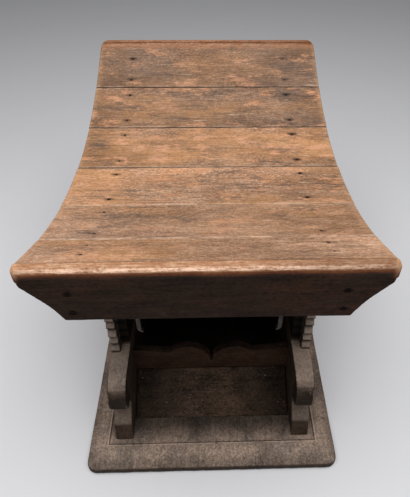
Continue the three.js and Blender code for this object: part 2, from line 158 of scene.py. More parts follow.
# %% Numbers
class Number:
    """One number of a material that changes over the surface."""

    def __init__(self, finish, socket):
        self.finish = finish
        self.socket = socket

    def __add__(self, other):
        return self.finish.maths("ADD", self, other)

    def __radd__(self, other):
        return self.finish.maths("ADD", other, self)

    def __sub__(self, other):
        return self.finish.maths("SUBTRACT", self, other)

    def __rsub__(self, other):
        return self.finish.maths("SUBTRACT", other, self)

    def __mul__(self, other):
        return self.finish.maths("MULTIPLY", self, other)

    def __rmul__(self, other):
        return self.finish.maths("MULTIPLY", other, self)

    def __truediv__(self, other):
        return self.finish.maths("DIVIDE", self, other)

    def __abs__(self):
        return self.finish.maths("ABSOLUTE", self)

    def wave(self):
        return self.finish.maths("SINE", self) * 0.5 + 0.5

    def rise(self, low, high):
        """Nought below low, one above high, a soft step between. With high under low it falls."""
        return self.finish.number(
            "ShaderNodeMapRange",
            {"interpolation_type": "SMOOTHSTEP"},
            {"Value": self, "From Min": low, "From Max": high},
            "Result",
        )


def larger(first, second):
    return first.finish.maths("MAXIMUM", first, second)


# %% [markdown]
# Every other node comes from one method, which takes a node's type, its settings, and the values or
# links of its sockets. The class Web holds that method for any web of nodes. The class Finish is a
# web with a Principled shader, and adds the tools that the woods and the iron are painted with. A
# Mix node has sockets for numbers, vectors and colours side by side, so those for colours are named.

# %% Webs of nodes and finishes
MIX_SHARE, MIX_UNDER, MIX_OVER, MIX_RESULT = 0, 6, 7, 2


class Web:
    """A web of nodes, of a material or of the world."""

    def __init__(self, tree):
        self.tree = tree

    def node(self, kind, settings=None, sockets=None):
        made = self.tree.nodes.new(kind)
        for name, value in (settings or {}).items():
            if name == "stops":
                self.set_stops(made.color_ramp, value)
            else:
                setattr(made, name, value)
        for key, value in (sockets or {}).items():
            self.feed(made.inputs[key], value)
        return made

    def set_stops(self, ramp, stops):
        while len(ramp.elements) < len(stops):
            ramp.elements.new(1)
        for element, (place, colour) in zip(ramp.elements, stops):
            element.position = place
            element.color = (*colour, 1)

    def feed(self, socket, value):
        if isinstance(value, Number):
            value = value.socket
        if isinstance(value, bpy.types.NodeSocket):
            self.tree.links.new(value, socket)
        elif socket.type == "RGBA" and len(value) == 3:
            socket.default_value = (*value, 1)
        else:
            socket.default_value = value


class Finish(Web):
    """One material, its Principled shader and the tools that feed it."""

    def __init__(self, name, gloss=0.5):
        self.material = bpy.data.materials.new(name)
        self.material.use_nodes = True
        super().__init__(self.material.node_tree)
        self.shader = self.tree.nodes["Principled BSDF"]
        self.shader.inputs["Specular IOR Level"].default_value = gloss
        self.place = self.node("ShaderNodeTexCoord").outputs["Object"]
        self.normal = self.node("ShaderNodeNewGeometry").outputs["Normal"]

    def number(self, kind, settings, sockets, output):
        return Number(self, self.node(kind, settings, sockets).outputs[output])

    def maths(self, operation, *values):
        return self.number("ShaderNodeMath", {"operation": operation}, dict(enumerate(values)), 0)

    def axis(self, letter, vector=None):
        """One part of a vector, which is the place on the piece unless another is given."""
        split = self.node("ShaderNodeSeparateXYZ", None, {0: vector or self.place})
        return Number(self, split.outputs[letter])

    def facing(self, letter):
        """How far the surface faces along an axis, from minus one to one."""
        return self.axis(letter, self.normal)

    def mapped(self, scale, shift):
        """The piece's own coordinates, drawn out or packed together, and moved by a shift."""
        return self.node(
            "ShaderNodeMapping", None, {"Vector": self.place, "Scale": scale, "Location": shift},
        ).outputs[0]

    def noise(self, scale, shift=(0, 0, 0), detail=4, roughness=0.6, warp=0):
        """A noise from nought to one. scale is how many waves fit in a metre along each axis."""
        return self.number(
            "ShaderNodeTexNoise",
            None,
            {
                "Vector": self.mapped(scale, shift),
                "Scale": 1,
                "Detail": detail,
                "Roughness": roughness,
                "Distortion": warp,
            },
            0,
        )

    def specks(self, spacing, size, shift=(0, 0, 0)):
        """Small round specks, one to a cell, of sizes that vary from cell to cell."""
        cells = self.node(
            "ShaderNodeTexVoronoi",
            None,
            {"Vector": self.mapped((1 / spacing,) * 3, shift), "Scale": 1},
        )
        reach = self.axis("X", cells.outputs["Color"]) * size / spacing
        return (reach - Number(self, cells.outputs["Distance"])).rise(0, 0.08)

    def attribute(self, name):
        return self.number("ShaderNodeAttribute", {"attribute_name": name}, {}, "Fac")

    def ramp(self, value, stops):
        return self.node("ShaderNodeValToRGB", {"stops": stops}, {"Fac": value}).outputs["Color"]

    def mix(self, share, under, over, blend="MIX"):
        made = self.node(
            "ShaderNodeMix",
            {"data_type": "RGBA", "blend_type": blend},
            {MIX_SHARE: share, MIX_UNDER: under, MIX_OVER: over},
        )
        return made.outputs[MIX_RESULT]

    def shade(self, colour, mask):
        """The colour, black where the mask is one and unchanged where it is nought."""
        return self.darken(colour, 1 - mask)

    def darken(self, colour, amount):
        """The colour times a number, which is carried as a grey."""
        grey = self.node("ShaderNodeCombineXYZ", None, {0: amount, 1: amount, 2: amount})
        return self.mix(1, colour, grey.outputs[0], "MULTIPLY")

    def finish(self, colour, roughness, height, depth, metallic=0):
        """Wire the colour, the roughness and a relief whose deepest groove is depth metres."""
        bump = self.node(
            "ShaderNodeBump", None, {"Strength": 1, "Distance": depth, "Height": height},
        )
        self.feed(self.shader.inputs["Base Color"], colour)
        self.feed(self.shader.inputs["Roughness"], roughness)
        self.feed(self.shader.inputs["Metallic"], metallic)
        self.feed(self.shader.inputs["Normal"], bump.outputs[0])
        print(self.material.name, "has", len(self.tree.nodes), "nodes")
        return self.material


# %% [markdown]
# ## What all the woods share
#
# Wood is a bundle of fibres, so its pattern is long one way and fine the other two. A noise texture
# whose coordinates are packed together across the grain gives fibres. The contour lines of a slower
# noise give the flame figure of a sawn plank. Each is made once here for any grain direction.

# %% Grain
GRAIN_AXES = {"X": 0, "Y": 1, "Z": 2}
FIGURE_LINES = 46


def drawn_out(grain, along, across):
    """Pattern scales that are slow along the grain and quick across it."""
    scale = [across, across, across]
    scale[GRAIN_AXES[grain]] = along
    return tuple(scale)


def grain_shift(seed):
    """Where in the endless noise a board's grain is taken from."""
    return (seed * 3.7, seed * 1.9, seed * 2.3)


def fibre_of(f, grain, seed):
    return f.noise(drawn_out(grain, 22, 620), grain_shift(seed), detail=5, roughness=0.62)


def figure_of(f, grain, seed):
    slow = f.noise(drawn_out(grain, 2.6, 24), grain_shift(seed), detail=2.5, roughness=0.5)
    return (slow * FIGURE_LINES).wave()


def pores_of(f, grain, seed):
    pores = f.noise(drawn_out(grain, 90, 1500), grain_shift(seed), detail=2, roughness=0.5)
    return pores.rise(0.60, 0.72)


def cracks_of(f, grain, seed, width):
    """A few long thin splits that wander along the grain."""
    shift = (seed * 1.3, seed * 4.1, seed * 2.9)
    wander = f.noise(drawn_out(grain, 4.5, 30), shift, detail=2, roughness=0.45)
    where = f.noise(drawn_out(grain, 7, 22), (seed, seed, seed), detail=1).rise(0.56, 0.66)
    return abs(wander - 0.5).rise(width, width * 0.3) * where


# %% [markdown]
# Round each nail the wood is dark with dirt and iron stain, drawn out along the grain. The distance
# to a nail's head makes such a mask, measured after the X part is halved, so that it is an oval.

# %% Dirt round the nails
ALONG_PLANK = (0.50, 1, 1)


def nail_dirt(f, spots, reach):
    """Dark wood round each nail, stronger round some than round others."""
    dirt = 0
    for spot in spots:
        away = f.node(
            "ShaderNodeVectorMath", {"operation": "SUBTRACT"}, {0: f.place, 1: tuple(spot)},
        ).outputs[0]
        squeezed = f.node(
            "ShaderNodeVectorMath", {"operation": "MULTIPLY"}, {0: away, 1: ALONG_PLANK},
        ).outputs[0]
        length = f.number("ShaderNodeVectorMath", {"operation": "LENGTH"}, {0: squeezed}, "Value")
        strength = 0.72 + 0.5 * noise.noise(Vector(spot) * 53)
        dirt = larger(length.rise(reach, reach * 0.45) * strength, dirt)
    return dirt


# %% [markdown]
# ## The seat's finish
#
# The seat has been sat on, waxed and rubbed for a long time. Over its fine grain lie soft grey stains
# that sank in, orange patches where the polish has worn through to fresh wood, pale scratches, dirt
# round each nail, and a dark line in each open joint, which along the front edge widens into a
# painted shadow of the end board's lip. The joints that are packed with old wax and dust are pale
# instead. Each of these is one mask, and the colour is mixed once for each mask.

# %% Colours of the seat
SEAT_DEEP = (0.150, 0.066, 0.028)
SEAT_BROWN = (0.368, 0.194, 0.106)
SEAT_PALE = (0.745, 0.470, 0.315)
SEAT_GREY = (0.265, 0.178, 0.132)
SEAT_STAIN = (0.098, 0.067, 0.051)
SEAT_WARM = (0.560, 0.270, 0.105)
SEAT_END = (0.115, 0.055, 0.030)
SEAT_ORANGE = (0.600, 0.275, 0.130)
SEAT_PINK = (0.680, 0.375, 0.250)
SEAT_EDGE = (0.580, 0.320, 0.170)
SEAT_RIM = (0.400, 0.175, 0.082)
SEAT_RUBBED_AND_LIT = (0.640, 0.420, 0.280)
SEAT_CHIP = (0.640, 0.510, 0.400)
SEAT_GAP_AND_LIP_SHADOW = (0.036, 0.013, 0.006)

# %% [markdown]
# The planks share a handful of noises, so these are made first. The body of the wood is a ramp from
# deep to pale over their sum, then warmer or greyer in broad clouds. looks says how orange, stained
# and grey a plank is, its tone how light it is, with painted shade in the last two planks' tone, and
# its slant how much lighter its left end is.

# %% Body of the seat's wood
SEAT_FIGURE_LINES = 60


def seat_patterns(f, seed):
    """The noises that the seat's masks share, each from nought to one."""
    p = SimpleNamespace()
    p.fine = f.noise((85, 820, 820), (seed, 0, 0), 3, 0.6)
    p.speckle = f.noise((250, 470, 470), (0, seed, 0), 3, 0.7)
    p.mottle = f.noise((30, 62, 62), (seed, 5, 0), 6, 0.72, 0.5)
    p.broad = f.noise((9, 18, 18), (seed, 9, 3), 3, 0.5)
    p.warmth = f.noise((6, 14, 14), (seed, 4, 8), 3, 0.55)
    p.breakup = (p.speckle * 0.6 + p.fine * 0.5).rise(0.36, 0.62) * 0.8 + 0.2
    return p


def seat_body(f, p, seed, looks):
    slow = f.noise(drawn_out("X", 3, 26), (seed, 1, 1), 2.5, 0.5)
    figure = (slow * SEAT_FIGURE_LINES).wave()
    grit = f.noise((520, 620, 620), (0, 2, seed), 2, 0.6)
    tone = p.fine * 0.42 + p.speckle * 0.62 + grit * 0.42 + p.mottle * 0.42 + p.broad * 0.16
    tone = tone + figure * 0.04 - 0.54
    colour = f.ramp(tone, [(0.30, SEAT_DEEP), (0.50, SEAT_BROWN), (0.72, SEAT_PALE)])
    colour = f.mix(p.warmth.rise(0.42, 0.60) * looks["orange"] * 0.55, colour, SEAT_WARM)
    greyness = (p.broad * 0.6 + (1 - p.warmth) * 0.4).rise(0.30, 0.68)
    colour = f.mix(greyness * looks["grey"] * 0.8, colour, SEAT_GREY)
    worn_zone = f.noise((5, 8, 8), (seed, 1, 12), 2, 0.5).rise(0.35, 0.65)
    slant = 1 - f.axis("X") * (looks["slant"] / half_width)
    return f.darken(colour, (0.70 + worn_zone * 0.50) * slant * looks["tone"])


# %% [markdown]
# Wear shows as patches where the polish is gone, as a rubbed zone towards the planks' ends and the
# rear rim, and as dark end grain on the ends themselves. The patches' outlines are broken up by the
# finer noises, because a clean outline would look like camouflage. A pair such as RUBBED_ENDS says
# where a mask begins and where it is full, in metres from the middle of the stool.

# %% Wear of the seat
RUBBED_ENDS = (0.159, 0.171)
RUBBED_RIM = (0.228, 0.236)


def seat_patches(f, p, colour, seed, looks):
    """Orange and pink patches of fresh wood."""
    patches = f.noise((30, 60, 60), (0, seed * 2.1, 0), 5, 0.62, 0.3)
    patches = patches + (p.speckle - 0.5) * 0.14 + (p.fine - 0.5) * 0.12
    orange = patches.rise(0.52, 0.67) * p.breakup * looks["orange"]
    colour = f.mix(orange * 0.75, colour, SEAT_ORANGE)
    pink = (patches * 0.6 + p.warmth * 0.4).rise(0.53, 0.64) * p.breakup * looks["orange"]
    return f.mix(pink * 0.45, colour, SEAT_PINK)


def seat_ends(f, p, colour, looks):
    """Rubbed wood at the ends and the rim, and dark end grain."""
    ends = (abs(f.axis("X")) + p.mottle * 0.014).rise(*RUBBED_ENDS) * (0.4 + p.breakup * 0.6)
    colour = f.mix(ends * 0.55, colour, SEAT_EDGE)
    rim = (abs(f.axis("Y")) + p.mottle * 0.006).rise(*RUBBED_RIM) * looks["rim"]
    colour = f.mix(rim * 0.60, colour, SEAT_RIM)
    end_grain = abs(f.facing("X")).rise(0.45, 0.80)
    return f.mix(end_grain * 0.8, colour, SEAT_END)


# %% [markdown]
# Last come the marks of use: grey stains, pale rubbed wood along the plank edges with a painted
# highlight on it, pale scratches, chips of old wax beside the joints, dark pores and fine dark lines
# along the grain. The gap and packed attributes say how near a joint is.

# %% Marks on the seat, and its finish
SEAT_GLOSS = 0.30
SEAT_RELIEF = 0.00055
SEAT_NAIL_DIRT = 0.0048


def seat_stains(f, p, seed):
    stains = f.noise((24, 62, 62), (seed * 1.7, 4, 0), 5, 0.62, 0.3)
    return (stains - (p.speckle - 0.5) * 0.18 - (p.fine - 0.5) * 0.18).rise(0.50, 0.71)


def seat_scars(f, seed):
    """Pale scratches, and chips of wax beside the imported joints."""
    scratches = f.noise((26, 520, 520), (seed, 7, 1), 2, 0.5).rise(0.66, 0.73)
    scratches = scratches * f.noise((25, 25, 25), (seed, 8, 1), 2).rise(0.45, 0.62)
    chips = f.noise((60, 200, 200), (seed, 3, 0), 3, 0.7).rise(0.44, 0.62)
    chips = f.attribute("packed") * chips
    chips = chips * (0.25 + 0.75 * f.noise((9, 9, 9), (seed, 6, 0), 2).rise(0.45, 0.60))
    return larger(scratches * 0.55, chips)


def seat_finish(name, seed, spots, looks):
    f = Finish(name, SEAT_GLOSS)
    p = seat_patterns(f, seed)
    colour = seat_body(f, p, seed, looks)
    colour = seat_patches(f, p, colour, seed, looks)
    colour = seat_ends(f, p, colour, looks)
    stains = seat_stains(f, p, seed) * looks["stain"]
    colour = f.mix(stains, colour, SEAT_STAIN)
    # Plank edges rubbed pale, with a painted highlight along the arris.
    rubbed = f.attribute("rubbed").rise(0.1, 0.8) * p.mottle.rise(0.40, 0.58)
    colour = f.mix(rubbed * 0.50, colour, SEAT_RUBBED_AND_LIT)
    colour = f.mix(seat_scars(f, seed), colour, SEAT_CHIP)
    pores = f.noise((110, 1400, 1400), (seed, 2, 0), 2, 0.5).rise(0.60, 0.74)
    dirt = nail_dirt(f, spots, SEAT_NAIL_DIRT) * looks["nails"]
    colour = f.shade(colour, larger(dirt * 0.84, pores * 0.40))
    lines = f.noise((13, 460, 460), (seed, 2, 9), 3, 0.6).rise(0.56, 0.68) * 0.45
    colour = f.shade(colour, lines * (0.4 + p.mottle * 0.8))
    # Dark joint lines; along the front edge a painted shadow of the end board's lip.
    colour = f.mix(f.attribute("gap") * 0.94, colour, SEAT_GAP_AND_LIP_SHADOW)
    height = p.fine * 0.5 + p.speckle * 0.35 + p.mottle * 0.2 - pores * 0.35 - dirt * 0.2
    height = height - lines * 0.5
    shine = 0.47 + stains * 0.15 + pores * 0.2 - rubbed * 0.10 + p.speckle * 0.1
    return f.finish(colour, shine, height, SEAT_RELIEF)


# %% [markdown]
# ## The end boards' finish
#
# An end board is nearly black below and rubbed pale along the top that the hand meets, with a red
# brown band where the nosing turns down and a pale crest on the roll, which is worn wood with a
# painted highlight. The surface normal's Z part says how far a place faces up, so the bands and the
# crest are masks of that number, kept to the nosing's height and broken up by noise. Heights are
# measured from the floor.

# %% Colours and places on the end boards
END_DARK = (0.0100, 0.0055, 0.0036)
END_BROWN = (0.040, 0.0220, 0.0138)
END_RUSSET = (0.068, 0.026, 0.013)
END_RED_DEEP = (0.085, 0.028, 0.012)
END_RED = (0.210, 0.066, 0.022)
END_TOP_DEEP = (0.190, 0.070, 0.028)
END_TOP = (0.340, 0.160, 0.080)
END_TOP_PALE = (0.540, 0.340, 0.215)
END_CREST_HIGHLIGHT = (0.950, 0.640, 0.465)
END_DUST = (0.110, 0.090, 0.078)
END_SCUFF = (0.115, 0.072, 0.052)

NOSING = (RIM_HEIGHT - 0.016, RIM_HEIGHT - 0.008)
CREST_HIGHLIGHT_ENDS = (0.130, 0.156)
DULLER_RIGHT = (0.020, 0.110)
TIP = (half_width - 0.006, half_width + 0.001)
TIP_HEIGHT = (RIM_HEIGHT - 0.020, RIM_HEIGHT - 0.004)
LOWER_EDGE = (RIM_HEIGHT - 0.060, RIM_HEIGHT - 0.0635)
SEAM = end_back + 0.0018
END_GLOSS = 0.08
END_RELIEF = 0.0006
END_NAIL_DIRT = 0.0034


# %% [markdown]
# The face is dark wood with russet clouds. The top is a ramp of warm browns with a pale crest, where
# the wear has gone furthest and a highlight is painted. Each is a colour of its own, and the finish
# lays one over the other.

# %% Face and top of an end board
def end_patterns(f, seed):
    """The noises that the end board's masks share."""
    p = SimpleNamespace()
    p.fibre = fibre_of(f, "X", seed)
    p.pores = pores_of(f, "X", seed)
    p.speckle = f.noise((260, 430, 430), (0, seed, 0), 3, 0.7)
    p.mottle = f.noise((26, 60, 60), (seed, 5, 0), 5, 0.65)
    p.streaks = f.noise((55, 760, 760), (seed, 6, 2), 4, 0.7)
    p.tone = p.fibre * 0.36 + p.mottle * 0.42 + p.speckle * 0.42 - 0.10
    p.facing = f.facing("Z") + (p.mottle - 0.5) * 0.25
    p.high = f.axis("Z").rise(*NOSING)
    return p


def end_face(f, p, seed):
    face = f.ramp(p.tone, [(0.38, END_DARK), (0.66, END_BROWN)])
    russet = f.noise((9, 26, 26), (seed, 3, 5), 4, 0.6).rise(0.50, 0.64)
    return f.mix(russet * p.tone.rise(0.36, 0.60) * 0.4, face, END_RUSSET)


def end_top(f, p):
    """Warm browns, with a worn pale crest and a painted highlight, both fading towards the tips."""
    tone = p.fibre * 0.25 + p.streaks * 0.40 + p.speckle * 0.30 + p.mottle * 0.15
    top = f.ramp(tone, [(0.36, END_TOP_DEEP), (0.52, END_TOP), (0.66, END_TOP_PALE)])
    # The crest is worn wood with a painted highlight, where the roll faces half up.
    crest_highlight = p.facing.rise(0.22, 0.44) * p.facing.rise(0.86, 0.60)
    crest_highlight = crest_highlight * (p.streaks * 0.6 + p.speckle * 0.4).rise(0.38, 0.60)
    crest_highlight = crest_highlight * (0.65 + p.mottle * 0.6)
    crest_highlight = crest_highlight * (1 - abs(f.axis("X")).rise(*CREST_HIGHLIGHT_ENDS) * 0.7)
    top = f.mix(crest_highlight, top, END_CREST_HIGHLIGHT)
    return f.shade(top, f.axis("X").rise(*DULLER_RIGHT) * 0.32)


# %% [markdown]
# The finish lays the red band and then the top over the face, wears the tips pale, and adds dust on
# the lower edge, scuffs, splits, the thin seam behind the lip of the nosing, and dirt at the nails.

# %% Finish of an end board
def end_finish(name, seed, spots, wear):
    """wear says how far the top is rubbed from red brown to pale wood, from nought to one."""
    f = Finish(name, END_GLOSS)
    p = end_patterns(f, seed)
    unworn = f.ramp(p.tone, [(0.36, END_RED), (0.64, SEAT_RIM)])
    red = f.mix(wear, unworn, f.ramp(p.tone, [(0.36, END_RED_DEEP), (0.64, END_RED)]))
    top = f.mix(wear, unworn, end_top(f, p))
    colour = f.mix(p.facing.rise(-0.04, 0.16) * p.high, end_face(f, p, seed), red)
    colour = f.mix(p.facing.rise(0.14, 0.40) * p.high, colour, top)
    tip = (abs(f.axis("X")) + p.mottle * 0.006).rise(*TIP)
    up = (f.axis("Z") + p.mottle * 0.004).rise(*TIP_HEIGHT)
    worn_tip = f.ramp(up, [(0.0, END_BROWN), (0.4, END_RED), (1.0, SEAT_EDGE)])
    colour = f.mix(tip * up.rise(0, 0.3) * wear * 0.85, colour, worn_tip)
    lower = f.attribute("rubbed").rise(0.1, 0.7) * f.axis("Z").rise(*LOWER_EDGE)
    colour = f.mix(lower * 0.5, colour, END_DUST)
    scuffs = f.noise((60, 420, 420), (3, seed, 0), 3, 0.7).rise(0.62, 0.76) * (1 - p.high)
    colour = f.mix(scuffs * 0.4, colour, END_SCUFF)
    seam = abs(abs(f.axis("Y")) - SEAM).rise(0.0012, 0.0003) * p.high * wear
    colour = f.shade(colour, seam * (0.55 + p.streaks * 0.6))
    splits = cracks_of(f, "X", seed, 0.005) * (1 - p.high)
    colour = f.shade(colour, (splits * 0.4 + p.pores * 0.25) * 0.9)
    colour = f.shade(colour, nail_dirt(f, spots, END_NAIL_DIRT) * 0.95)
    height = p.fibre * 0.4 - splits * 0.6 - p.pores * 0.2 + p.speckle * p.high * 0.5
    shine = 0.78 - p.high * 0.42 + scuffs * 0.1
    return f.finish(colour, shine, height, END_RELIEF)


# %% [markdown]
# ## The dusty woods
#
# The boards under the seat are dark, and dust has settled on whatever faces up. On the side boards
# it lies smooth and thick, on the rails it is thin and their tops are painted dark as shade, and on
# the base it is the main colour.
# One finish serves all four kinds of board, with a row of looks for each: its wood from dark to
# brown, how much dust it has, how steep a face the dust settles on, and how evenly it lies.

# %% Colours and looks of the dusty woods
DUST_WARM = (0.40, 0.295, 0.230)
DUST_GREY = (0.265, 0.215, 0.182)
BASE_RUBBED = (0.400, 0.215, 0.125)
DUST_PALE = (0.40, 0.29, 0.22)
CRUMB = (0.62, 0.50, 0.38)
FIELD_LIP_WORN_AND_LIT = (0.50, 0.38, 0.29)

DUSTY_LOOKS = {
    "side": {
        "dark": (0.024, 0.0160, 0.0115), "brown": (0.078, 0.054, 0.038), "rubbed": DUST_PALE,
        "dust": 0.85, "settles": (0.62, 0.94), "even": 0.8,
    },
    "rail": {
        "dark": (0.018, 0.0095, 0.0060), "brown": (0.066, 0.036, 0.022), "rubbed": DUST_PALE,
        "dust": 0.10, "settles": (0.25, 0.90), "even": 0.0,
    },
    "slope": {
        "dark": (0.0060, 0.0034, 0.0021), "brown": (0.066, 0.038, 0.023), "rubbed": DUST_PALE,
        "dust": 0.06, "settles": (0.25, 0.90), "even": 0.0,
    },
    "base": {
        "dark": (0.085, 0.058, 0.044), "brown": (0.250, 0.175, 0.130), "rubbed": BASE_RUBBED,
        "dust": 0.90, "settles": (0.25, 0.90), "even": 0.15,
    },
}


# %% [markdown]
# The same noises drive the bare wood under the dust and the dust itself. Dust is grey or warm in
# clouds, with fine flecks that are fainter where it lies evenly.

# %% Bare wood and dust
def dusty_patterns(f, grain, seed):
    """The noises that the dusty woods' masks share."""
    p = SimpleNamespace()
    p.fibre = fibre_of(f, grain, seed)
    p.pores = pores_of(f, grain, seed)
    p.speckle = f.noise((300, 300, 300), (0, seed, 0), 3, 0.7)
    p.mottle = f.noise((36, 36, 36), (seed, 5, 0), 5, 0.65)
    p.grit = f.noise((560, 560, 560), (0, 2, seed), 2, 0.6)
    p.cloud = f.noise((13, 13, 13), (seed, 2, 0), 5, 0.62)
    p.streak = f.noise(drawn_out(grain, 16, 300), (seed, 0, 7), 5, 0.7)
    p.patchy = p.cloud * 0.42 + p.streak * 0.38 + p.speckle * 0.34
    p.patchy = p.patchy + p.grit * 0.20 + p.mottle * 0.42 - 0.325
    p.facing = f.facing("Z")
    return p


def bare_wood(f, p, grain, seed, looks):
    tone = p.fibre * 0.30 + p.mottle * 0.40 + p.speckle * 0.38 + p.grit * 0.26
    tone = tone + figure_of(f, grain, seed) * 0.05 - 0.195
    return f.ramp(tone, [(0.36, looks["dark"]), (0.66, looks["brown"])])


def dust_colour(f, p, even):
    warm = (p.cloud * 0.6 + p.mottle * 0.5).rise(0.48, 0.60) * (1 - even * 0.7) + even * 0.25
    fleck = (p.streak * 0.16 + p.speckle * 0.46 + p.grit * 0.44 - 0.03).rise(0.36, 0.64)
    tint = f.mix(warm, DUST_GREY, DUST_WARM)
    return f.darken(tint, 0.66 + even * 0.12 + fleck * (0.62 - even * 0.26))


# %% [markdown]
# The side boards have more to them. Dust lies on the ledges above the noses and thinly in the
# throats. Each saw-cut notch between two teeth gets a painted shadow, the noses' upright fronts get
# painted shade, and the inner layer behind the teeth is painted dark as shade.

# %% Side boards: dust and shade
LEDGES = (0.112, 0.116)
THROAT_FOOT = (BASE_TOP + 0.020, BASE_TOP + 0.025)
THROAT_TOP = (0.064, 0.052)
TEETH_END = TEETH_START + TEETH * TEETH_PITCH
NOSE_FRONT = (0.196, 0.206)
NOSE_FOOT = (0.050, 0.060)
INNER_LAYER = (0.1125, 0.1110)
INNER_FOOT = (0.1140, 0.1170)


def side_dust(f, p, cover):
    ledges = p.facing.rise(0.05, 0.40) * f.axis("Z").rise(*LEDGES) * 0.8
    throat = f.axis("Z").rise(*THROAT_FOOT) * f.axis("Z").rise(*THROAT_TOP)
    return larger(larger(cover, ledges), throat * p.facing.rise(-0.05, 0.30) * 0.30)


def side_shade(f, p, colour):
    # Painted shadow in each saw-cut notch, on faces that look forwards, back or up.
    phase = f.maths("FRACT", (f.axis("Z") - TEETH_START) / TEETH_PITCH)
    notch_shadow = phase.rise(0.52, 0.85) * f.axis("Z").rise(TEETH_START + 0.003, TEETH_START + 0.005)
    notch_shadow = notch_shadow * f.axis("Z").rise(TEETH_END, TEETH_END - 0.002)
    sawn = larger(abs(f.facing("Y")).rise(0.20, 0.60), p.facing.rise(0.2, 0.6))
    colour = f.shade(colour, notch_shadow * sawn * 0.88)
    # Painted shade on the noses' upright fronts.
    nose_front_shade = abs(f.axis("Y")).rise(*NOSE_FRONT) * f.axis("Z").rise(*NOSE_FOOT)
    colour = f.shade(colour, nose_front_shade * p.facing.rise(0.75, 0.35) * 0.50)
    # Painted shade on the inner layer behind the teeth.
    inner_layer_shade = abs(f.axis("X")).rise(*INNER_LAYER) * f.axis("Z").rise(*INNER_FOOT)
    return f.shade(colour, inner_layer_shade * 0.80)


# %% [markdown]
# The base lies in the seat's deep shade, deepest between the side boards. A soft lamp gives less
# shade than this there, so that shade is painted into the base's colour under the seat and between
# the boards. Round the sunk field a painted shadow line marks the step, with a pale lip outside it
# that is worn and painted as lit. The base is darker towards its outer edge, and its upright faces
# get painted shade.

# %% Base board: shade and lines
SHADE_UNDER_SEAT = ((0.150, 0.120), (0.247, 0.203))
SHADE_BETWEEN_BOARDS = ((0.104, 0.100), (0.150, 0.130))


def base_shade(f, p, colour):
    out_x = abs(f.axis("X"))
    out_y = abs(f.axis("Y"))
    # Painted shade under the seat.
    under = out_x.rise(*SHADE_UNDER_SEAT[0]) * out_y.rise(*SHADE_UNDER_SEAT[1])
    colour = f.shade(colour, under * 0.80)
    # Painted shade between the side boards.
    shade_between = out_x.rise(*SHADE_BETWEEN_BOARDS[0]) * out_y.rise(*SHADE_BETWEEN_BOARDS[1])
    colour = f.shade(colour, shade_between * 0.8)
    # Painted shadow on the sunk field's step, with a pale worn lip painted as lit beside it.
    away = larger(out_x - FIELD_HALF[0], out_y - FIELD_HALF[1])
    step_shadow = abs(away + 0.0004).rise(0.0010, 0.0002) * p.facing.rise(0.0, 0.4)
    colour = f.shade(colour, step_shadow * 0.75)
    worn_lit_lip = abs(away - 0.0014).rise(0.0012, 0.0002) * p.mottle.rise(0.40, 0.55)
    colour = f.mix(worn_lit_lip * 0.5, colour, FIELD_LIP_WORN_AND_LIT)
    outer = larger(out_x - BASE_HALF[0], out_y - BASE_HALF[1]) + p.cloud * 0.010
    colour = f.shade(colour, outer.rise(-0.015, 0.005) * 0.42)
    # Painted shade on the upright faces.
    return f.shade(colour, p.facing.rise(0.60, 0.10) * 0.55)


# %% [markdown]
# The finish lays dust over the wood, rubs the edges pale, darkens corners, splits and pores, and
# scatters a few crumbs. The rails' tops get painted shade. The sloping boards get painted light in
# the middle and painted shade towards the side boards.

# %% Finish of a dusty board
RAIL_TOP_SHADE = 0.6
BASE_LOW_DUST = 0.10
SLOPE_MIDDLE = (0.01, 0.085)
SLOPE_PAINTED_LIGHT, SLOPE_SHADE_FALL = 1.26, 0.75
CRUMB_SPACING, CRUMB_SIZE = 0.0040, 0.0008
DUSTY_GLOSS = 0.06
DUSTY_RELIEF = 0.0007


def dust_cover(f, p, kind, looks):
    """How far dust hides the wood, from nought to one."""
    even = looks["even"]
    lying = p.patchy.rise(0.34, 0.72) * (1 - even) + even * 0.95
    cover = p.facing.rise(*looks["settles"]) * lying * looks["dust"]
    if kind == "side":
        return side_dust(f, p, cover)
    if kind == "base":
        return cover + p.patchy.rise(0.50, 0.80) * BASE_LOW_DUST
    return cover


